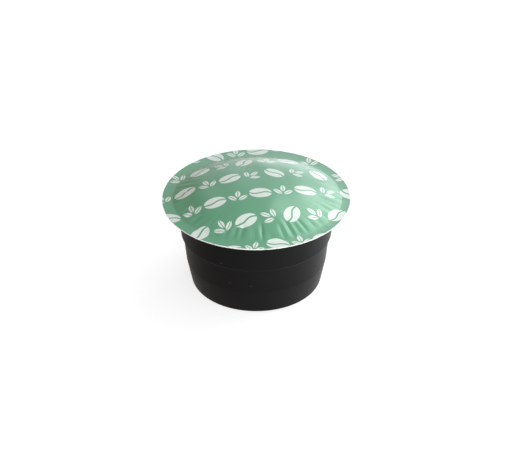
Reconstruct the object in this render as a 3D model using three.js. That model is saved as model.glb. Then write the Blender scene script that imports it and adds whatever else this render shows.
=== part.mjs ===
// Coffee pod: a moulded cup with a flange, a foil lid sealed to it, and the coffee inside.
// Millimetres, +Z up. The origin is the centre of the underside of the base.
import * as THREE from "three";

// The cup's outside, from the base up
const BASE_RADIUS = 15.85;
const BASE_FILLET = 0.9;
const WAIST_RADIUS = 17.05;
const WAIST_HEIGHT = 7.05;
const SHOULDER_RADIUS = 17.65;
const SHOULDER_HEIGHT = 13.1;
const COLLAR_RADIUS = 18.2;
const COLLAR_FOOT = 13.6;
const FLANGE_TOP = 22.3;
const FLANGE_RADIUS = 21.95;
const FLANGE_THICKNESS = 0.6;
const FLANGE_EDGE = 0.2;
const NECK_FILLET = 0.6;

// The cup's wall, floor and underside
const WALL = 0.7;
const FLOOR = 0.7;
const FLOOR_FILLET = 1.2;
const MOUTH_ROUND = 0.3;
const FOOT_RING = 2.2;
const RECESS_DEPTH = 0.4;
const RECESS_SLOPE = 0.4;
const GATE_RADIUS = 1.6;
const GATE_DEPTH = 0.25;

// The lid
const LID_RADIUS = 22.5;
const FOIL = 0.3;
const SEAL_WIDTH = 2.65;
const SEAL_OVAL = 0.4;
const SEAL_SHIFT = new THREE.Vector2(0.25, -0.3);
const DOME_HEIGHT = 4.0;
const DOME_POWER = 2.2;

// The puckers round the dome's foot: lengths, half-widths as shares of the pitch, how far each one may be off
// its even place, and how much of the dome's height each takes away at the foot
const PUCKER_PITCH = 2.4;
const PUCKER_LENGTHS = [2.6, 6.2];
const PUCKER_HALF_WIDTHS = [0.42, 0.72];
const PUCKER_WANDER = 0.25;
const PUCKER_SHARES = [0.38, 0.75];
const PUCKER_SEED = 11;

// The coffee
const CLEARANCE = 0.3;
const HEADSPACE = 1.4;

// How finely the round shapes are cut
const CUP_SEGMENTS = 72;
const COFFEE_SEGMENTS = 48;
const PUCKER_SEGMENTS = 4;
const ARC_STEPS = 3;
const DOME_STATIONS = [0, 0.35, 0.6, 0.7, 0.78, 0.85, 0.91, 0.96, 1];

const BLACK_PLASTIC = new THREE.MeshStandardMaterial({ color: "#1d1c1c", roughness: 0.45, metalness: 0 });
const PRINTED_FOIL = new THREE.MeshStandardMaterial({ color: "#86b597", roughness: 0.35, metalness: 0.3 });
const GROUND_COFFEE = new THREE.MeshStandardMaterial({ color: "#3b2417", roughness: 0.95, metalness: 0 });

const point = (radius, height) => new THREE.Vector2(radius, height);

// Points of an arc, both ends included, with its angles in degrees.
function arc(centreRadius, centreHeight, radius, from, to) {
  return Array.from({ length: ARC_STEPS + 1 }, (_, step) => {
    const angle = THREE.MathUtils.degToRad(from + ((to - from) * step) / ARC_STEPS);
    return point(centreRadius + radius * Math.cos(angle), centreHeight + radius * Math.sin(angle));
  });
}

// Turns a profile of radius and height round the Z axis.
function revolve(profile, segments) {
  return new THREE.LatheGeometry(profile, segments).rotateX(Math.PI / 2);
}

function named(name, geometry, material) {
  const mesh = new THREE.Mesh(geometry, material);
  mesh.name = name;
  return mesh;
}

// The underside: a foot ring round a shallow recess, with the mould's gate mark in the middle.
function underside() {
  const recess = BASE_RADIUS - BASE_FILLET - FOOT_RING;
  return [
    point(0, RECESS_DEPTH + GATE_DEPTH),
    point(GATE_RADIUS - GATE_DEPTH, RECESS_DEPTH + GATE_DEPTH),
    point(GATE_RADIUS, RECESS_DEPTH),
    point(recess - RECESS_SLOPE, RECESS_DEPTH),
    point(recess, 0),
  ];
}

// The outside wall, from the base's edge to the flange's top.
function outside() {
  const under = FLANGE_TOP - FLANGE_THICKNESS;
  return [
    ...arc(BASE_RADIUS - BASE_FILLET, BASE_FILLET, BASE_FILLET, -90, 0),
    point(WAIST_RADIUS, WAIST_HEIGHT),
    point(SHOULDER_RADIUS, SHOULDER_HEIGHT),
    point(COLLAR_RADIUS, COLLAR_FOOT),
    ...arc(COLLAR_RADIUS + NECK_FILLET, under - NECK_FILLET, NECK_FILLET, 180, 90),
    ...arc(FLANGE_RADIUS - FLANGE_EDGE, under + FLANGE_EDGE, FLANGE_EDGE, -90, 0),
    point(FLANGE_RADIUS, FLANGE_TOP),
  ];
}

// A line parallel to the inside wall, this much further in, from the mouth down to the floor.
function inside(inset) {
  const step = WALL + inset;
  const floor = RECESS_DEPTH + FLOOR + inset;
  return [
    point(COLLAR_RADIUS - step, COLLAR_FOOT),
    point(SHOULDER_RADIUS - step, SHOULDER_HEIGHT),
    point(WAIST_RADIUS - step, WAIST_HEIGHT),
    ...arc(BASE_RADIUS - step - FLOOR_FILLET, floor + FLOOR_FILLET, FLOOR_FILLET, 0, -90),
    point(0, floor),
  ];
}

function cup() {
  const mouth = COLLAR_RADIUS - WALL;
  const lip = arc(mouth + MOUTH_ROUND, FLANGE_TOP - MOUTH_ROUND, MOUTH_ROUND, 90, 180);
  return revolve([...underside(), ...outside(), ...lip, ...inside(0)], CUP_SEGMENTS);
}

function coffee() {
  const level = FLANGE_TOP - HEADSPACE;
  const top = [point(0, level), point(COLLAR_RADIUS - WALL - CLEARANCE, level)];
  return revolve([...top, ...inside(CLEARANCE)].reverse(), COFFEE_SEGMENTS);
}

// One pucker for each pitch round the dome's foot, each with its own place, width, length and depth. The
// generator repeats the same row of chances each time.
function makePuckers(foot) {
  let state = PUCKER_SEED;
  const within = ([least, most]) => {
    state = (state * 16807) % 2147483647;
    return least + ((most - least) * state) / 2147483647;
  };
  const count = Math.round((2 * Math.PI * foot) / PUCKER_PITCH);
  const pitch = (2 * Math.PI) / count;
  return Array.from({ length: count }, (_, index) => ({
    azimuth: (index + 0.5 + within([-PUCKER_WANDER, PUCKER_WANDER])) * pitch,
    halfWidth: within(PUCKER_HALF_WIDTHS) * pitch,
    length: within(PUCKER_LENGTHS),
    share: within(PUCKER_SHARES),
  }));
}

// How much of the dome's height the puckers take away at a point this far in from the foot.
function puckerShare(puckers, azimuth, inward) {
  let most = 0;
  for (const pucker of puckers) {
    const turn = Math.abs(azimuth - pucker.azimuth) % (2 * Math.PI);
    const across = Math.min(turn, 2 * Math.PI - turn) / pucker.halfWidth;
    const along = inward / pucker.length;
    if (across < 1 && along < 1) {
      most = Math.max(most, pucker.share * (1 - along) * (0.5 + 0.5 * Math.cos(Math.PI * across)));
    }
  }
  return most;
}

// One sheet, flat where it is sealed. The seal's inner edge is a little oval and off centre.
function lid() {
  const foot = LID_RADIUS - SEAL_WIDTH;
  const puckers = makePuckers(foot);
  const rise = (radius) => (radius < foot ? DOME_HEIGHT * (1 - (radius / foot) ** DOME_POWER) : 0);
  const stations = DOME_STATIONS.map((share) => share * foot);
  const face = (height) => stations.map((radius) => point(radius, height + rise(radius)));
  const underFace = face(FLANGE_TOP);
  const topFace = face(FLANGE_TOP + FOIL).reverse();
  const edge = [point(LID_RADIUS, FLANGE_TOP), point(LID_RADIUS, FLANGE_TOP + FOIL)];
  const sheet = revolve([...underFace, ...edge, ...topFace], PUCKER_SEGMENTS * puckers.length);
  const position = sheet.getAttribute("position");
  for (let i = 0; i < position.count; i++) {
    const radius = Math.hypot(position.getX(i), position.getY(i));
    const azimuth = Math.atan2(position.getY(i), position.getX(i)) + Math.PI;
    const drop = rise(radius) * puckerShare(puckers, azimuth, foot - radius);
    position.setZ(i, position.getZ(i) - drop);
    if (radius < LID_RADIUS - SEAL_WIDTH / 2) {
      position.setX(i, position.getX(i) * (1 + SEAL_OVAL / foot) + SEAL_SHIFT.x);
      position.setY(i, position.getY(i) * (1 - SEAL_OVAL / foot) + SEAL_SHIFT.y);
    }
  }
  sheet.computeVertexNormals();
  return sheet;
}

const pod = new THREE.Group();
pod.add(named("cup", cup(), BLACK_PLASTIC));
pod.add(named("lid", lid(), PRINTED_FOIL));
pod.add(named("coffee", coffee(), GROUND_COFFEE));

export default pod;
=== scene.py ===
"""Dresses a sealed coffee pod, in a plain studio.

The moulded black cup and the printed, puckered foil lid are modelled here.
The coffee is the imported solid, with a material.
"""

import math

import bpy
import numpy as np
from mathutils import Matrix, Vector


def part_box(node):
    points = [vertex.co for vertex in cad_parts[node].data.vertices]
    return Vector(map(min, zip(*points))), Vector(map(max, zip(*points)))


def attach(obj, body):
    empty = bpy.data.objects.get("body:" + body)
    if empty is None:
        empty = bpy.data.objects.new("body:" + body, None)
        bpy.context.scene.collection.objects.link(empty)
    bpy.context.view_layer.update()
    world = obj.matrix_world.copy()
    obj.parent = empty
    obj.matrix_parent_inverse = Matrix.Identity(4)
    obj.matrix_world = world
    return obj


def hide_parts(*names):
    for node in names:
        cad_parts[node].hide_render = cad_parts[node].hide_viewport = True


bl_info = {
    "name": "Coffee Pod",
    "version": (1, 0, 0),
    "blender": (4, 5, 0),
    "location": "View3D > Sidebar > Pod",
    "description": "Builds the cup, foil lid and studio of a coffee pod round its packed model",
    "category": "Object",
}

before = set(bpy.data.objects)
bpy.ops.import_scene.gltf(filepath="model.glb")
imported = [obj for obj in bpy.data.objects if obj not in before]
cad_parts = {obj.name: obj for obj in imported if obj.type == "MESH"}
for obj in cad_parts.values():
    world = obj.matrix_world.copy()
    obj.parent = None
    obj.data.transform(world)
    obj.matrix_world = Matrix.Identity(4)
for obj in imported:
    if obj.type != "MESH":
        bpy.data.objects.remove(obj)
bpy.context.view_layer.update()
CUP_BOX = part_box("cup")
LID_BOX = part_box("lid")

MM = 0.001
MERGE_DISTANCE = 0.0005 * MM
PHOTO_WIDTH_PX = 527
FULL_TURN = 2 * math.pi
SMOOTH_ANGLE = math.radians(40)


def linear(code):
    """An sRGB hex colour as linear red, green and blue."""
    parts = [int(code[i : i + 2], 16) / 255 for i in (1, 3, 5)]
    return tuple(p / 12.92 if p <= 0.04045 else ((p + 0.055) / 1.055) ** 2.4 for p in parts)


def length(name, description, default):
    """A length property in metres."""
    return bpy.props.FloatProperty(
        name=name,
        description=description,
        default=default,
        min=0,
        precision=5,
        unit="LENGTH",
        subtype="DISTANCE",
    )


def colour(name, description, code):
    """A colour property, given as an sRGB hex code."""
    return bpy.props.FloatVectorProperty(
        name=name,
        description=description,
        default=linear(code),
        min=0,
        max=1,
        size=3,
        subtype="COLOR",
    )


class PodCupSettings(bpy.types.PropertyGroup):
    """Sizes and colour of the moulded cup"""

    base_radius: length("Base radius", "Radius of the base before its edge is rounded", 15.7 * MM)
    base_fillet: length("Base fillet", "Rounding of the base's edge", 0.75 * MM)
    waist_radius: length("Waist radius", "Radius at the crease between the two bands", 17.0 * MM)
    waist_height: length("Waist height", "Height of that crease", 6.6 * MM)
    shoulder_radius: length("Shoulder radius", "Radius under the collar's step", 17.65 * MM)
    shoulder_height: length("Shoulder height", "Height of the step's lower edge", 13.1 * MM)
    collar_radius: length("Collar radius", "Outside radius of the collar", 18.2 * MM)
    collar_foot: length("Collar foot", "Height of the step's upper edge", 13.6 * MM)
    flange_radius: length("Flange radius", "Outside radius of the flange", CUP_BOX[1].x)
    flange_top: length("Flange top", "Height of the face that the foil is sealed to", CUP_BOX[1].z)
    flange_thickness: length("Flange thickness", "Thickness of the flange", 0.6 * MM)
    neck_fillet: length("Neck fillet", "Rounding between the collar and the flange", 0.6 * MM)
    wall: length("Wall", "Thickness of the wall", 0.7 * MM)
    floor: length("Floor", "Thickness of the floor", 0.7 * MM)
    floor_fillet: length("Floor fillet", "Rounding inside, between wall and floor", 1.0 * MM)
    foot_ring: length("Foot ring", "Width of the flat ring that the pod stands on", 2.2 * MM)
    recess_depth: length("Recess depth", "Depth of the recess under the base", 0.4 * MM)
    gate_radius: length("Gate radius", "Radius of the mould's gate mark", 1.6 * MM)
    gate_depth: length("Gate depth", "Depth of the mould's gate mark", 0.25 * MM)
    soft_edge: length("Soft edge", "Rounding of the cup's small edges", 0.12 * MM)
    plastic: colour("Plastic", "Colour of the black plastic", "#111111")
    dust: colour("Dust", "Colour of the pale specks on the plastic", "#6A6A6A")
    steps: bpy.props.IntProperty(
        name="Steps", description="Faces round the cup", default=288, min=24
    )


class PodLidSettings(bpy.types.PropertyGroup):
    """Sizes and colours of the foil lid"""

    lid_radius: length("Lid radius", "Radius that the foil is cut to", LID_BOX[1].x)
    underside: length("Underside", "Height of the foil's underside on the flange", LID_BOX[0].z)
    foil: length("Foil", "Thickness of the foil", 0.3 * MM)
    seal_width: length("Seal width", "Mean width of the flat sealed ring", 2.65 * MM)
    seal_oval: length("Seal oval", "How much the seal's inner edge is out of round", 0.4 * MM)
    seal_shift: bpy.props.FloatVectorProperty(
        name="Seal shift",
        description="How far the seal's inner edge is off centre",
        default=(0.25 * MM, -0.3 * MM),
        size=2,
        precision=5,
        unit="LENGTH",
    )
    dome_power: bpy.props.FloatProperty(
        name="Dome power",
        description="How flat the dome is on top and steep at its foot",
        default=2.2,
        min=1,
    )
    pucker_pitch: length("Pucker pitch", "Mean distance of puckers at the dome's foot", 2.4 * MM)
    pucker_seed: bpy.props.IntProperty(
        name="Pucker seed", description="Start of the row of chances", default=11, min=1
    )
    pucker_strength: bpy.props.FloatProperty(
        name="Pucker strength",
        description="Depth of the puckers against the packed model's",
        default=0.55,
        min=0,
    )
    far_calm: bpy.props.FloatProperty(
        name="Far calm",
        description="How much shallower the puckers and creases are on the far side",
        default=0.85,
        min=0,
        max=1,
    )
    crease_count: bpy.props.IntProperty(
        name="Crease count", description="Number of fine creases round the dome", default=110, min=0
    )
    sag_depth: length("Sag depth", "Depth of the shallow dents all over the dome", 0.05 * MM)
    edge_wave: length("Edge wave", "How far the cut edge of the foil wanders", 0.05 * MM)
    steps_per_pucker: bpy.props.IntProperty(
        name="Steps per pucker",
        description="Faces round the lid for each pucker",
        default=14,
        min=4,
    )
    ink: colour("Ink", "Colour of the printed ground", "#6CA988")
    print_white: colour("White", "Colour of the printed motif", "#E3EAE5")
    bare: colour("Bare foil", "Colour of the foil's unprinted underside", "#C9CCCB")
    # Near-white: a painted highlight for the light that the cut edge catches.
    cut_edge_highlight: colour("Cut edge", "Colour of the foil's cut edge", "#FFFFFC")


class PodStageSettings(bpy.types.PropertyGroup):
    """The studio, its lamps and the camera"""

    floor_size: length("Floor size", "Side of the floor", 6.0)
    floor_colour: colour("Floor", "Colour of the floor", "#B8B8B8")
    camera_distance: length("Camera distance", "From the camera to the middle of the pod", 450 * MM)
    camera_elevation: bpy.props.FloatProperty(
        name="Camera elevation",
        description="Angle of the camera above the floor",
        default=math.radians(33.2),
        unit="ROTATION",
        subtype="ANGLE",
    )
    focal_length_px: bpy.props.FloatProperty(
        name="Focal length",
        description="Focal length in pixels of the photograph's width",
        default=1856.0,
        min=1,
    )
    target: bpy.props.FloatVectorProperty(
        name="Target",
        description="Point in the middle of the camera's view",
        default=(1.74 * MM, 0, 11.34 * MM),
        size=3,
        precision=5,
        unit="LENGTH",
    )


def node(tree, kind, settings=None, links=None):
    """Adds a node with its settings, and fills its inputs with values or from other nodes."""
    made = tree.nodes.new(kind)
    for name, value in (settings or {}).items():
        setattr(made, name, value)
    for name, value in (links or {}).items():
        if isinstance(value, bpy.types.Node):
            value = value.outputs[0]
        if isinstance(value, bpy.types.NodeSocket):
            tree.links.new(value, made.inputs[name])
        else:
            made.inputs[name].default_value = value
    return made


def new_material(name):
    """An empty node material and its tree."""
    material = bpy.data.materials.new(name)
    material.use_nodes = True
    material.node_tree.nodes.clear()
    return material, material.node_tree


def rgba(values):
    """A colour property with full alpha."""
    return (*values, 1.0)


def deselect():
    """Goes to object mode, with nothing selected."""
    if bpy.context.object and bpy.context.object.mode != "OBJECT":
        bpy.ops.object.mode_set(mode="OBJECT")
    bpy.ops.object.select_all(action="DESELECT")


def soften(corners, steps=6):
    """An outline with each corner (radius, height, cut) rounded over the length of its cut."""
    points = [Vector((radius, height)) for radius, height, cut in corners]
    line = []
    for i, (radius, height, cut) in enumerate(corners):
        corner = points[i]
        if not cut or i in (0, len(corners) - 1):
            line.append(corner)
            continue
        start = corner + (points[i - 1] - corner).normalized() * cut
        end = corner + (points[i + 1] - corner).normalized() * cut
        for step in range(steps + 1):
            t = step / steps
            line.append(start * (1 - t) ** 2 + corner * 2 * t * (1 - t) + end * t**2)
    return line


def turn(name, outline, steps):
    """Spins an outline of (radius, height) points round Z.

    The outline is drawn out of one vertex and spun by a quarter turn, which is then copied round.
    """
    deselect()
    bpy.ops.mesh.primitive_plane_add(size=MM, location=(0, 0, 0))
    piece = bpy.context.object
    piece.name = name
    piece.data.name = name
    bpy.ops.object.mode_set(mode="EDIT")
    bpy.ops.mesh.select_all(action="SELECT")
    bpy.ops.mesh.merge(type="CENTER")
    bpy.ops.transform.translate(value=(outline[0].x, 0, outline[0].y))
    for before, after in zip(outline, outline[1:]):
        step = after - before
        bpy.ops.mesh.extrude_vertices_move(TRANSFORM_OT_translate={"value": (step.x, 0, step.y)})
    bpy.ops.mesh.select_all(action="SELECT")
    bpy.ops.mesh.spin(steps=steps // 4, angle=FULL_TURN / 4, center=(0, 0, 0), axis=(0, 0, 1))
    # A copy of the quarter makes the half, and a copy of that the whole.
    for angle in (FULL_TURN / 4, FULL_TURN / 2):
        bpy.ops.mesh.select_all(action="SELECT")
        bpy.ops.mesh.duplicate()
        bpy.ops.transform.rotate(value=angle, orient_axis="Z", center_override=(0, 0, 0))
    bpy.ops.mesh.select_all(action="SELECT")
    bpy.ops.mesh.remove_doubles(threshold=MERGE_DISTANCE)
    bpy.ops.mesh.normals_make_consistent(inside=False)
    bpy.ops.object.mode_set(mode="OBJECT")
    return piece


def seat(piece, cad_node):
    """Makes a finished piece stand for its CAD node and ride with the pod."""
    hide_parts(cad_node)
    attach(piece, "root")


def moulded_polypropylene(s):
    """Black polypropylene from a spark-eroded mould: satin, finely grained and a little dusty."""
    material, tree = new_material("moulded_polypropylene")
    # The real grain is some hundredths of a millimetre. It is drawn as coarse as it needs to show.
    grain_mm = 0.12
    # The plastic cools unevenly as it fills the mould, so its gloss varies over some millimetres.
    flow_mm = 9.0
    # One speck of dust in each cell of this pitch, with a radius of this share of the pitch.
    dust_pitch_mm = 2.6
    dust_share = 0.022
    place = node(tree, "ShaderNodeTexCoord").outputs["Object"]
    grain = node(
        tree,
        "ShaderNodeTexNoise",
        links={"Vector": place, "Scale": 1 / (grain_mm * MM), "Detail": 2.0},
    )
    flow = node(
        tree,
        "ShaderNodeTexNoise",
        links={"Vector": place, "Scale": 1 / (flow_mm * MM), "Detail": 3.0},
    )
    rough = node(
        tree,
        "ShaderNodeMapRange",
        links={"Value": flow.outputs["Fac"], "To Min": 0.36, "To Max": 0.46},
    )
    specks = node(
        tree,
        "ShaderNodeTexVoronoi",
        {"feature": "F1"},
        {"Vector": place, "Scale": 1 / (dust_pitch_mm * MM)},
    )
    speck = node(
        tree,
        "ShaderNodeMapRange",
        links={
            "Value": specks.outputs["Distance"],
            "From Min": dust_share,
            "From Max": dust_share * 2,
            "To Min": 0.8,
            "To Max": 0.0,
        },
    )
    tint = node(
        tree,
        "ShaderNodeMix",
        {"data_type": "RGBA"},
        {"Factor": speck, "A": rgba(s.plastic), "B": rgba(s.dust)},
    )
    bump = node(
        tree,
        "ShaderNodeBump",
        links={"Height": grain.outputs["Fac"], "Strength": 0.25, "Distance": 0.02 * MM},
    )
    shader = node(
        tree,
        "ShaderNodeBsdfPrincipled",
        links={
            "Base Color": tint.outputs["Result"],
            "Roughness": rough,
            "IOR": 1.49,
            "Specular IOR Level": 0.1,
            "Normal": bump,
        },
    )
    node(tree, "ShaderNodeOutputMaterial", links={"Surface": shader})
    return material


def cup_outline(s):
    """Corners of the cup's section, from under its middle, over the flange, to its floor."""
    under = s.flange_top - s.flange_thickness
    recess = s.base_radius - s.base_fillet - s.foot_ring
    gate_top = s.recess_depth + s.gate_depth
    floor_top = s.recess_depth + s.floor
    edge = s.soft_edge
    return [
        (0, gate_top, 0),
        (s.gate_radius - s.gate_depth, gate_top, edge),
        (s.gate_radius, s.recess_depth, edge),
        (recess - s.recess_depth, s.recess_depth, edge),
        (recess, 0, edge),
        (s.base_radius, 0, s.base_fillet),
        (s.waist_radius, s.waist_height, 2 * edge),
        (s.shoulder_radius, s.shoulder_height, edge),
        (s.collar_radius, s.collar_foot, edge),
        (s.collar_radius, under, s.neck_fillet),
        (s.flange_radius, under, edge),
        (s.flange_radius, s.flange_top, edge),
        (s.collar_radius - s.wall, s.flange_top, edge),
        (s.collar_radius - s.wall, s.collar_foot, edge),
        (s.shoulder_radius - s.wall, s.shoulder_height, edge),
        (s.waist_radius - s.wall, s.waist_height, 2 * edge),
        (s.base_radius - s.wall, floor_top, s.floor_fillet),
        (0, floor_top, 0),
    ]


class POD_OT_cup(bpy.types.Operator):
    """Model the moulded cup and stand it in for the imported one"""

    bl_idname = "pod.cup"
    bl_label = "Moulded cup"

    def execute(self, context):
        s = context.scene.pod_cup
        cup = turn("moulded_cup", soften(cup_outline(s)), s.steps)
        cup.data.materials.append(moulded_polypropylene(s))
        bpy.ops.object.shade_smooth_by_angle(angle=SMOOTH_ANGLE)
        seat(cup, "cup")
        return {"FINISHED"}


def pucker_count(s, foot):
    """How many puckers stand round the dome's foot."""
    return round(FULL_TURN * foot / s.pucker_pitch)


def make_puckers(s, foot):
    """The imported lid's puckers: azimuth, half-width, length and share of the dome of each."""
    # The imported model's own row of chances, with the same multiplier and modulus.
    multiplier, modulus = 16807, 2147483647
    state = s.pucker_seed

    def within(least, most):
        nonlocal state
        state = (state * multiplier) % modulus
        return least + (most - least) * state / modulus

    count = pucker_count(s, foot)
    pitch = FULL_TURN / count
    puckers = []
    for index in range(count):
        azimuth = (index + 0.5 + within(-0.25, 0.25)) * pitch
        half_width = within(0.42, 0.72) * pitch
        reach = within(2.6, 6.2) * MM
        share = within(0.38, 0.75)
        puckers.append((azimuth, half_width, reach, share))
    return puckers


def pucker_share(puckers, azimuth, inward, sharpness):
    """Share of the dome that puckers take away, at arrays of azimuth and distance from the foot."""
    most = np.zeros_like(azimuth)
    for centre, half_width, reach, share in puckers:
        turned = np.abs(azimuth - centre) % FULL_TURN
        across = np.minimum(turned, FULL_TURN - turned) / half_width
        along = inward / reach
        depth = share * (1 - along) * (1 - np.minimum(across, 1)) ** sharpness
        most = np.maximum(most, np.where((across < 1) & (along < 1), depth, 0))
    return most


def fine_creases(s):
    """Thin shallow creases at chance places round the dome, in the same terms as the puckers."""
    chance = np.random.default_rng(s.pucker_seed)
    return [
        (
            chance.uniform(0, FULL_TURN),
            chance.uniform(0.25, 0.55) * MM / (s.lid_radius - s.seal_width),
            chance.uniform(3.0, 8.5) * MM,
            chance.uniform(0.02, 0.07),
        )
        for _ in range(s.crease_count)
    ]


def unevenness(x, y, seed, wavelength, waves=9):
    """A smooth height of about -1 to 1 at arrays of points: waves that run in chance directions."""
    chance = np.random.default_rng(seed)
    height = np.zeros_like(x)
    for _ in range(waves):
        heading = chance.uniform(0, math.pi)
        rate = FULL_TURN / (wavelength * chance.uniform(0.75, 1.35))
        along = x * math.cos(heading) + y * math.sin(heading)
        height += np.sin(rate * along + chance.uniform(0, FULL_TURN))
    return height / math.sqrt(waves)


def dome_rise(s, radius, foot):
    """Height of the smooth dome above the flat ring, at a radius or at an array of them."""
    height = LID_BOX[1].z - LID_BOX[0].z - s.foil
    return height * (1 - np.minimum(radius / foot, 1) ** s.dome_power)


def lid_outline(s, foot):
    """The lid's section, from the middle of its underside round to that of its top."""
    stations = 40
    crowding = 1.6  # over 1, so that the stations crowd towards the foot, where the puckers are
    radii = [foot * (1 - (1 - k / stations) ** crowding) for k in range(stations + 1)]
    under = [Vector((r, s.underside + dome_rise(s, r, foot))) for r in radii]
    top = [point + Vector((0, s.foil)) for point in reversed(under)]
    burr = 0.06 * MM
    edge = soften(
        [
            (foot, s.underside, 0),
            (s.lid_radius, s.underside, burr),
            (s.lid_radius, s.underside + s.foil, burr),
            (foot, s.underside + s.foil, 0),
        ],
        steps=3,
    )
    return under + edge[1:-1] + top


def crease_lid(piece, s, foot):
    """Moves the lid's vertices into puckers, creases and dents, and the dome off centre."""
    pucker_sharpness, crease_sharpness = 1.7, 1.0
    dent_width, dent_start = 9 * MM, 4 * MM
    trim_width, least_trim = 5 * MM, 0.5
    mesh = piece.data
    points = np.empty(len(mesh.vertices) * 3, dtype=np.float32)
    mesh.vertices.foreach_get("co", points)
    points = points.reshape(-1, 3).astype(float)
    # Views of the points: what is added to them or taken off moves the points.
    x, y, z = points.T
    radius = np.hypot(x, y)
    azimuth = np.arctan2(y, x) + math.pi
    inward = np.maximum(foot - radius, 0)
    folded = pucker_share(make_puckers(s, foot), azimuth, inward, pucker_sharpness)
    folded *= s.pucker_strength
    folded += pucker_share(fine_creases(s), azimuth, inward, crease_sharpness)
    far = np.clip(y / np.maximum(radius, MM), 0, 1)
    z -= dome_rise(s, radius, foot) * folded * (1 - s.far_calm * far)
    dents = unevenness(x, y, s.pucker_seed, dent_width) - 1
    z += s.sag_depth * np.minimum(inward / dent_start, 1) * dents
    # The cut edge wanders inwards only, and the more so the nearer a vertex is to it.
    out = np.clip((radius - foot) / s.seal_width, 0, 1)
    wave = unevenness(x, y, s.pucker_seed + 1, trim_width)
    trim = s.edge_wave * out**3 * np.clip(wave - least_trim, 0, 1) / np.maximum(radius, MM)
    x -= x * trim
    y -= y * trim
    # The dome is oval and off centre, but the outer half of the seal stays as it is.
    ring = radius > foot + 0.5 * s.seal_width
    x[~ring] = x[~ring] * (1 + s.seal_oval / foot) + s.seal_shift[0]
    y[~ring] = y[~ring] * (1 - s.seal_oval / foot) + s.seal_shift[1]
    mesh.vertices.foreach_set("co", points.astype(np.float32).ravel())
    mesh.update()


def printed_foil(s):
    """Lacquered aluminium foil, printed green: satin, with some metal showing through the ink."""
    material, tree = new_material("printed_foil")
    metal_share = 0.12
    # The rolled foil's real grain is finer. It is drawn as coarse as it needs to show.
    grain_mm = 0.25
    place = node(tree, "ShaderNodeTexCoord").outputs["Object"]
    mask = motif(tree, place)
    tint = node(
        tree,
        "ShaderNodeMix",
        {"data_type": "RGBA"},
        {"Factor": mask, "A": rgba(s.ink), "B": rgba(s.print_white)},
    )
    metal = node(
        tree,
        "ShaderNodeMapRange",
        links={"Value": mask, "To Min": metal_share, "To Max": 0.0},
    )
    grain = node(
        tree,
        "ShaderNodeTexNoise",
        links={"Vector": place, "Scale": 1 / (grain_mm * MM), "Detail": 3.0},
    )
    bump = node(
        tree,
        "ShaderNodeBump",
        links={"Height": grain.outputs["Fac"], "Strength": 0.1, "Distance": 0.01 * MM},
    )
    shader = node(
        tree,
        "ShaderNodeBsdfPrincipled",
        links={
            "Base Color": tint.outputs["Result"],
            "Metallic": metal,
            "Roughness": 0.27,
            "Specular IOR Level": 0.6,
            "Coat Weight": 0.8,
            "Coat Roughness": 0.2,
            "Normal": bump,
        },
    )
    node(tree, "ShaderNodeOutputMaterial", links={"Surface": shader})
    return material


def motif(tree, place):
    """Mask of the print, 1 where it is white: beans in staggered rows, and leaf sprigs between."""
    cell_mm = (11.0, 8.4)
    bean_mm = (2.7, 1.85)
    crease_mm = 0.22
    turn_of_rows = math.radians(-14)
    plane = node(
        tree,
        "ShaderNodeMapping",
        links={"Vector": place, "Rotation": (0, 0, turn_of_rows), "Scale": (1 / MM, 1 / MM, 0)},
    )
    beans = bean_mask(tree, cell_of(tree, plane, cell_mm, (0.0, 0.0)), bean_mm, crease_mm)
    sprigs = sprig_mask(tree, cell_of(tree, plane, cell_mm, (0.5, 0.0)))
    return node(tree, "ShaderNodeMath", {"operation": "MAXIMUM"}, {0: beans, 1: sprigs})


def cell_of(tree, plane, cell_mm, offset):
    """Place in mm in the staggered cell round each point, turned by each cell's chance angle."""
    most_turn = math.radians(70)
    scaled = node(
        tree,
        "ShaderNodeVectorMath",
        {"operation": "DIVIDE"},
        {0: plane, 1: (*cell_mm, 1.0)},
    )
    moved = node(tree, "ShaderNodeVectorMath", {"operation": "ADD"}, {0: scaled, 1: (*offset, 0.0)})
    split = node(tree, "ShaderNodeSeparateXYZ", links={"Vector": moved})
    row = node(tree, "ShaderNodeMath", {"operation": "FLOOR"}, {0: split.outputs["Y"]})
    stagger = node(tree, "ShaderNodeMath", {"operation": "PINGPONG"}, {0: row, 1: 1.0})
    half = node(tree, "ShaderNodeMath", {"operation": "MULTIPLY"}, {0: stagger, 1: 0.5})
    along = node(tree, "ShaderNodeMath", {"operation": "ADD"}, {0: split.outputs["X"], 1: half})
    column = node(tree, "ShaderNodeMath", {"operation": "FLOOR"}, {0: along})
    key = node(tree, "ShaderNodeCombineXYZ", links={"X": column, "Y": row})
    chance = node(tree, "ShaderNodeTexWhiteNoise", {"noise_dimensions": "2D"}, {"Vector": key})
    spun = node(
        tree,
        "ShaderNodeMapRange",
        links={"Value": chance.outputs["Value"], "To Min": -most_turn, "To Max": most_turn},
    )
    staggered = node(tree, "ShaderNodeCombineXYZ", links={"X": along, "Y": split.outputs["Y"]})
    inside = node(tree, "ShaderNodeVectorMath", {"operation": "FRACTION"}, {0: staggered})
    middle = (0.5, 0.5, 0.0)
    centred = node(tree, "ShaderNodeVectorMath", {"operation": "SUBTRACT"}, {0: inside, 1: middle})
    size = (*cell_mm, 0.0)
    local = node(tree, "ShaderNodeVectorMath", {"operation": "MULTIPLY"}, {0: centred, 1: size})
    return node(
        tree,
        "ShaderNodeVectorRotate",
        {"rotation_type": "Z_AXIS"},
        {"Vector": local, "Angle": spun},
    )


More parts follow.
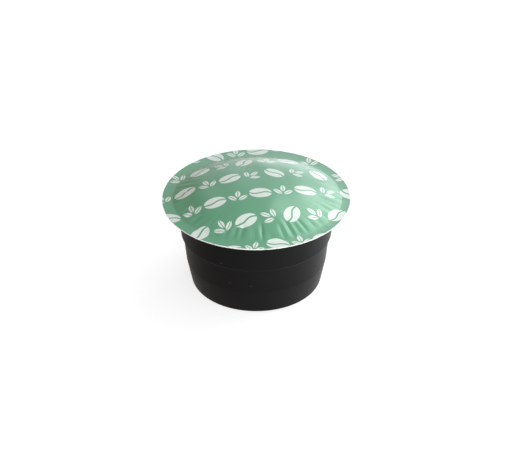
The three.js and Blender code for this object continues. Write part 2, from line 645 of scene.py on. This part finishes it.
def bean_mask(tree, local, bean_mm, crease_mm):
    """1 inside a coffee bean: an ellipse, cut along its length by an S-shaped crease."""
    sway_mm = 0.35
    edge_fade, crease_fade = 0.02, 0.2
    half_axes = (*bean_mm, 1.0)
    share = node(tree, "ShaderNodeVectorMath", {"operation": "DIVIDE"}, {0: local, 1: half_axes})
    reach = node(tree, "ShaderNodeVectorMath", {"operation": "LENGTH"}, {0: share})
    body = node(
        tree,
        "ShaderNodeMapRange",
        links={
            "Value": reach.outputs["Value"],
            "From Min": 1 - edge_fade,
            "From Max": 1 + edge_fade,
            "To Min": 1.0,
            "To Max": 0.0,
        },
    )
    split = node(tree, "ShaderNodeSeparateXYZ", links={"Vector": local})
    rate = math.pi / bean_mm[0]
    phase = node(
        tree, "ShaderNodeMath", {"operation": "MULTIPLY"}, {0: split.outputs["X"], 1: rate}
    )
    wave = node(tree, "ShaderNodeMath", {"operation": "SINE"}, {0: phase})
    line = node(
        tree,
        "ShaderNodeMath",
        {"operation": "MULTIPLY_ADD"},
        {0: wave, 1: -sway_mm, 2: split.outputs["Y"]},
    )
    off = node(tree, "ShaderNodeMath", {"operation": "ABSOLUTE"}, {0: line})
    clear = node(
        tree,
        "ShaderNodeMapRange",
        links={
            "Value": off,
            "From Min": crease_mm * (1 - crease_fade),
            "From Max": crease_mm * (1 + crease_fade),
        },
    )
    return node(tree, "ShaderNodeMath", {"operation": "MULTIPLY"}, {0: body, 1: clear})


def sprig_mask(tree, local):
    """1 inside a sprig: a middle leaf and one to each side, all from one stalk."""
    middle_mm, side_mm = (0.0, 0.9), (1.25, -0.5)
    side_lean = math.radians(48)
    middle = leaf_mask(tree, local, middle_mm, 0.0)
    split = node(tree, "ShaderNodeSeparateXYZ", links={"Vector": local})
    folded = node(tree, "ShaderNodeMath", {"operation": "ABSOLUTE"}, {0: split.outputs["X"]})
    mirrored = node(tree, "ShaderNodeCombineXYZ", links={"X": folded, "Y": split.outputs["Y"]})
    sides = leaf_mask(tree, mirrored, side_mm, side_lean)
    return node(tree, "ShaderNodeMath", {"operation": "MAXIMUM"}, {0: middle, 1: sides})


def leaf_mask(tree, local, centre_mm, lean):
    """1 inside a leaf that points up from its centre and leans by an angle, with a clear midrib."""
    half_mm = 1.45
    breadth_mm = 0.62
    rib_mm = 0.09
    rib_fade = 0.4
    edge_mm = 0.03
    centre = (*centre_mm, 0.0)
    moved = node(tree, "ShaderNodeVectorMath", {"operation": "SUBTRACT"}, {0: local, 1: centre})
    turned = node(
        tree,
        "ShaderNodeVectorRotate",
        {"rotation_type": "Z_AXIS"},
        {"Vector": moved, "Angle": lean},
    )
    split = node(tree, "ShaderNodeSeparateXYZ", links={"Vector": turned})
    along = node(
        tree, "ShaderNodeMath", {"operation": "DIVIDE"}, {0: split.outputs["Y"], 1: half_mm}
    )
    square = node(tree, "ShaderNodeMath", {"operation": "MULTIPLY"}, {0: along, 1: along})
    room = node(
        tree,
        "ShaderNodeMath",
        {"operation": "MULTIPLY_ADD"},
        {0: square, 1: -breadth_mm, 2: breadth_mm},
    )
    across = node(tree, "ShaderNodeMath", {"operation": "ABSOLUTE"}, {0: split.outputs["X"]})
    depth = node(tree, "ShaderNodeMath", {"operation": "SUBTRACT"}, {0: room, 1: across})
    blade = node(
        tree,
        "ShaderNodeMapRange",
        links={"Value": depth, "From Min": -edge_mm, "From Max": edge_mm},
    )
    clear = node(
        tree,
        "ShaderNodeMapRange",
        links={
            "Value": across,
            "From Min": rib_mm * (1 - rib_fade),
            "From Max": rib_mm * (1 + rib_fade),
        },
    )
    return node(tree, "ShaderNodeMath", {"operation": "MULTIPLY"}, {0: blade, 1: clear})


def cut_edge_highlight(s):
    """The foil's die-cut edge: matt, near-white as a painted highlight, and rubbed bare in places.
    """
    material, tree = new_material("foil_cut_edge")
    rubbed_mm = 1.5
    place = node(tree, "ShaderNodeTexCoord").outputs["Object"]
    nicks = node(
        tree,
        "ShaderNodeTexNoise",
        links={"Vector": place, "Scale": 1 / (rubbed_mm * MM), "Detail": 2.0},
    )
    worn = node(
        tree,
        "ShaderNodeMapRange",
        links={"Value": nicks.outputs["Fac"], "From Min": 0.6, "From Max": 0.7},
    )
    # The near-white is painted highlight, mixed with bare foil where the edge is rubbed.
    tint = node(
        tree,
        "ShaderNodeMix",
        {"data_type": "RGBA"},
        {"Factor": worn, "A": rgba(s.cut_edge_highlight), "B": rgba(s.bare)},
    )
    shader = node(
        tree,
        "ShaderNodeBsdfPrincipled",
        links={"Base Color": tint.outputs["Result"], "Roughness": 0.5},
    )
    node(tree, "ShaderNodeOutputMaterial", links={"Surface": shader})
    return material


def bare_foil(s):
    """The foil's underside: rolled aluminium under clear sealing lacquer, with faint lines."""
    material, tree = new_material("lacquered_foil_underside")
    place = node(tree, "ShaderNodeTexCoord").outputs["Object"]
    # Length and breadth of a rolling line. The real ones are finer, and these as coarse as they
    # need to show.
    length_mm, breadth_mm = 3.0, 0.15
    stretched = node(
        tree,
        "ShaderNodeMapping",
        links={"Vector": place, "Scale": (1 / (length_mm * MM), 1 / (breadth_mm * MM), 1 / MM)},
    )
    lines = node(
        tree,
        "ShaderNodeTexNoise",
        links={"Vector": stretched, "Scale": 1.0, "Detail": 2.0},
    )
    rough = node(
        tree,
        "ShaderNodeMapRange",
        links={"Value": lines.outputs["Fac"], "To Min": 0.3, "To Max": 0.5},
    )
    shader = node(
        tree,
        "ShaderNodeBsdfPrincipled",
        links={"Base Color": rgba(s.bare), "Metallic": 1.0, "Roughness": rough},
    )
    node(tree, "ShaderNodeOutputMaterial", links={"Surface": shader})
    return material


def assign_lid_materials(piece, s):
    """Print on the faces that look up, cut edge on the rim, bare foil on those that look down."""
    for make in (printed_foil, cut_edge_highlight, bare_foil):
        piece.data.materials.append(make(s))
    edge_slot, bare_slot = 1, 2
    rim = s.lid_radius - 0.2 * MM
    lowest, highest = -0.8, 0.95  # upward part of the normal on the rounded cut edge
    for face in piece.data.polygons:
        centre = face.center
        if math.hypot(centre.x, centre.y) > rim and lowest < face.normal.z < highest:
            face.material_index = edge_slot
        elif face.normal.z < 0:
            face.material_index = bare_slot


class POD_OT_lid(bpy.types.Operator):
    """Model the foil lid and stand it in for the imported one"""

    bl_idname = "pod.lid"
    bl_label = "Foil lid"

    def execute(self, context):
        s = context.scene.pod_lid
        foot = s.lid_radius - s.seal_width
        steps = pucker_count(s, foot) * s.steps_per_pucker
        lid = turn("foil_lid", lid_outline(s, foot), steps)
        crease_lid(lid, s, foot)
        assign_lid_materials(lid, s)
        bpy.ops.object.shade_smooth_by_angle(angle=SMOOTH_ANGLE)
        seat(lid, "lid")
        return {"FINISHED"}


class POD_OT_coffee(bpy.types.Operator):
    """Give the sealed coffee its material"""

    bl_idname = "pod.coffee"
    bl_label = "Ground coffee"

    def execute(self, context):
        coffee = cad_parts["coffee"]
        coffee.data.materials.clear()
        coffee.data.materials.append(ground_coffee())
        return {"FINISHED"}


def ground_coffee():
    """Roasted coffee, ground for espresso: dark brown grains under half a millimetre, and dull."""
    material, tree = new_material("ground_coffee")
    dark, light = linear("#24140B"), linear("#4C2F1D")
    grain_mm = 0.45
    place = node(tree, "ShaderNodeTexCoord").outputs["Object"]
    grains = node(
        tree, "ShaderNodeTexVoronoi", links={"Vector": place, "Scale": 1 / (grain_mm * MM)}
    )
    split = node(tree, "ShaderNodeSeparateColor", links={"Color": grains.outputs["Color"]})
    tint = node(
        tree,
        "ShaderNodeMix",
        {"data_type": "RGBA"},
        {"Factor": split.outputs["Red"], "A": rgba(dark), "B": rgba(light)},
    )
    bump = node(
        tree,
        "ShaderNodeBump",
        {"invert": True},
        {"Height": grains.outputs["Distance"], "Strength": 0.8, "Distance": 0.2 * MM},
    )
    shader = node(
        tree,
        "ShaderNodeBsdfPrincipled",
        links={"Base Color": tint.outputs["Result"], "Roughness": 0.85, "Normal": bump},
    )
    node(tree, "ShaderNodeOutputMaterial", links={"Surface": shader})
    return material


def studio_floor(s):
    """A white paper sweep, in a grey that keeps the pod's shadow and a glow that makes it white.

    Only the camera sees that glow, also through anything clear. Reflections see another glow:
    painted shade, dim and warm, on the left, and painted light, bright and cool, on the right.
    """
    material, tree = new_material("studio_floor")
    shade_end, light_start = -50 * MM, 80 * MM
    mirrored_shade, mirrored_light = 0.15, 1.6
    warm, cool, white = linear("#FFEEE2"), linear("#ECF5FF"), linear("#FFFFFF")
    seen_glow = 0.72
    paths = node(tree, "ShaderNodeLightPath")
    place = node(tree, "ShaderNodeTexCoord").outputs["Object"]
    split = node(tree, "ShaderNodeSeparateXYZ", links={"Vector": place})
    # The glow that reflections see is painted light and shade, falling from right to left.
    falloff = node(
        tree,
        "ShaderNodeMapRange",
        {"interpolation_type": "SMOOTHSTEP"},
        {"Value": split.outputs["X"], "From Min": shade_end, "From Max": light_start},
    )
    level = node(
        tree,
        "ShaderNodeMapRange",
        links={"Value": falloff, "To Min": mirrored_shade, "To Max": mirrored_light},
    )
    mirrored = node(
        tree,
        "ShaderNodeMath",
        {"operation": "MULTIPLY"},
        {0: paths.outputs["Is Glossy Ray"], 1: level},
    )
    # Warm painted shade to cool painted light, in the glow that reflections see.
    tint = node(
        tree,
        "ShaderNodeMix",
        {"data_type": "RGBA"},
        {"Factor": falloff, "A": rgba(warm), "B": rgba(cool)},
    )
    seen = node(
        tree,
        "ShaderNodeMath",
        {"operation": "MAXIMUM"},
        {0: paths.outputs["Is Camera Ray"], 1: paths.outputs["Is Transmission Ray"]},
    )
    cast = node(
        tree,
        "ShaderNodeMix",
        {"data_type": "RGBA"},
        {"Factor": seen, "A": tint.outputs["Result"], "B": rgba(white)},
    )
    shown = node(tree, "ShaderNodeMath", {"operation": "MULTIPLY"}, {0: seen, 1: seen_glow})
    lift = node(tree, "ShaderNodeMath", {"operation": "MAXIMUM"}, {0: shown, 1: mirrored})
    matt = node(tree, "ShaderNodeBsdfDiffuse", links={"Color": rgba(s.floor_colour)})
    glow = node(
        tree, "ShaderNodeEmission", links={"Color": cast.outputs["Result"], "Strength": lift}
    )
    both = node(tree, "ShaderNodeAddShader", links={0: matt, 1: glow})
    node(tree, "ShaderNodeOutputMaterial", links={"Surface": both})
    return material


def studio_world():
    """Soft light all round: a pale room with a window on its right, dim and warm to the left."""
    dim_wall, plain_wall = linear("#877767"), linear("#D8DEDF")
    dim_ceiling, plain_ceiling = linear("#85857D"), linear("#A9B0AC")
    world = bpy.data.worlds.new("studio_world")
    world.use_nodes = True
    tree = world.node_tree
    tree.nodes.clear()
    toward = node(tree, "ShaderNodeTexCoord").outputs["Generated"]
    split = node(tree, "ShaderNodeSeparateXYZ", links={"Vector": toward})
    # From the dim warm wall on the left to the plain ones.
    side = node(
        tree,
        "ShaderNodeMapRange",
        {"interpolation_type": "SMOOTHSTEP"},
        {"Value": split.outputs["X"], "From Min": -0.45, "From Max": -0.02},
    )
    # From the walls to the ceiling, which is darker.
    up = node(
        tree,
        "ShaderNodeMapRange",
        {"interpolation_type": "SMOOTHSTEP"},
        {"Value": split.outputs["Z"], "From Min": 0.56, "From Max": 0.7},
    )
    walls = node(
        tree,
        "ShaderNodeMix",
        {"data_type": "RGBA"},
        {"Factor": side, "A": rgba(dim_wall), "B": rgba(plain_wall)},
    )
    ceiling = node(
        tree,
        "ShaderNodeMix",
        {"data_type": "RGBA"},
        {"Factor": side, "A": rgba(dim_ceiling), "B": rgba(plain_ceiling)},
    )
    tint = node(
        tree,
        "ShaderNodeMix",
        {"data_type": "RGBA"},
        {"Factor": up, "A": walls.outputs["Result"], "B": ceiling.outputs["Result"]},
    )
    # The window makes the right side brighter, the more so the further right.
    window = node(
        tree,
        "ShaderNodeMapRange",
        {"interpolation_type": "SMOOTHSTEP"},
        {
            "Value": split.outputs["X"],
            "From Min": 0.0,
            "From Max": 0.65,
            "To Min": 0.89,
            "To Max": 2.3,
        },
    )
    # Low down on the right there is more light, which the far shoulder of the lid mirrors.
    low = node(
        tree,
        "ShaderNodeMapRange",
        {"interpolation_type": "SMOOTHSTEP"},
        {
            "Value": split.outputs["Z"],
            "From Min": 0.05,
            "From Max": 0.36,
            "To Min": 0.8,
            "To Max": 0.0,
        },
    )
    right = node(
        tree,
        "ShaderNodeMapRange",
        {"interpolation_type": "SMOOTHSTEP"},
        {"Value": split.outputs["X"], "From Min": -0.05, "From Max": 0.25},
    )
    strength = node(
        tree, "ShaderNodeMath", {"operation": "MULTIPLY_ADD"}, {0: low, 1: right, 2: window}
    )
    light = node(
        tree,
        "ShaderNodeBackground",
        links={"Color": tint.outputs["Result"], "Strength": strength},
    )
    node(tree, "ShaderNodeOutputWorld", links={"Surface": light})
    bpy.context.scene.world = world


def add_lamp(name, azimuth, elevation, distance, size, power):
    """A soft rectangular lamp, aimed at the pod. Azimuth 0 is behind it, and 90 to its right."""
    round_z = math.radians(azimuth)
    above = math.radians(elevation)
    reach = math.cos(above)
    away = Vector((math.sin(round_z) * reach, math.cos(round_z) * reach, math.sin(above)))
    deselect()
    bpy.ops.object.light_add(type="AREA", location=away * distance)
    lamp = bpy.context.object
    lamp.name = name
    lamp.data.shape = "RECTANGLE"
    lamp.data.size, lamp.data.size_y = size
    lamp.data.energy = power
    lamp.rotation_euler = away.to_track_quat("Z", "Y").to_euler()
    lamp.visible_camera = False


class POD_OT_stage(bpy.types.Operator):
    """Make the floor, the soft light and the camera at the photograph's angle"""

    bl_idname = "pod.stage"
    bl_label = "Studio"

    def execute(self, context):
        s = context.scene.pod_stage
        drop = 0.02 * MM  # keeps the floor off the pod's own base
        deselect()
        bpy.ops.mesh.primitive_plane_add(size=s.floor_size, location=(0, 0, -drop))
        floor = context.object
        floor.name = "studio_floor"
        floor.data.materials.append(studio_floor(s))
        studio_world()
        add_lamp(
            "softbox_right", azimuth=52, elevation=38, distance=0.75, size=(0.8, 0.7), power=2.1
        )
        add_lamp(
            "softbox_front", azimuth=180, elevation=18, distance=0.9, size=(0.6, 0.5), power=4.0
        )
        target = Vector(s.target)
        elevation = s.camera_elevation
        back = Vector((0, -math.cos(elevation), math.sin(elevation)))
        bpy.ops.object.camera_add(location=target + back * s.camera_distance)
        camera = context.object
        camera.rotation_euler = back.to_track_quat("Z", "Y").to_euler()
        sensor_mm = 36.0
        camera.data.sensor_width = sensor_mm
        camera.data.lens = s.focal_length_px / PHOTO_WIDTH_PX * sensor_mm
        camera.data.clip_start = 10 * MM
        context.scene.camera = camera
        context.scene.view_settings.view_transform = "Standard"
        return {"FINISHED"}


class POD_PT_sidebar(bpy.types.Panel):
    """The pod's pieces and studio"""

    bl_label = "Coffee Pod"
    bl_idname = "POD_PT_sidebar"
    bl_space_type = "VIEW_3D"
    bl_region_type = "UI"
    bl_category = "Pod"

    def draw(self, context):
        for operator in (POD_OT_cup, POD_OT_lid, POD_OT_coffee, POD_OT_stage):
            self.layout.operator(operator.bl_idname)


CLASSES = (
    PodCupSettings,
    PodLidSettings,
    PodStageSettings,
    POD_OT_cup,
    POD_OT_lid,
    POD_OT_coffee,
    POD_OT_stage,
    POD_PT_sidebar,
)


def register():
    for one in CLASSES:
        bpy.utils.register_class(one)
    bpy.types.Scene.pod_cup = bpy.props.PointerProperty(type=PodCupSettings)
    bpy.types.Scene.pod_lid = bpy.props.PointerProperty(type=PodLidSettings)
    bpy.types.Scene.pod_stage = bpy.props.PointerProperty(type=PodStageSettings)


def unregister():
    del bpy.types.Scene.pod_stage
    del bpy.types.Scene.pod_lid
    del bpy.types.Scene.pod_cup
    for one in reversed(CLASSES):
        bpy.utils.unregister_class(one)


def main():
    register()
    bpy.ops.pod.cup()
    bpy.ops.pod.lid()
    bpy.ops.pod.coffee()
    bpy.ops.pod.stage()


if __name__ == "__main__":
    main()
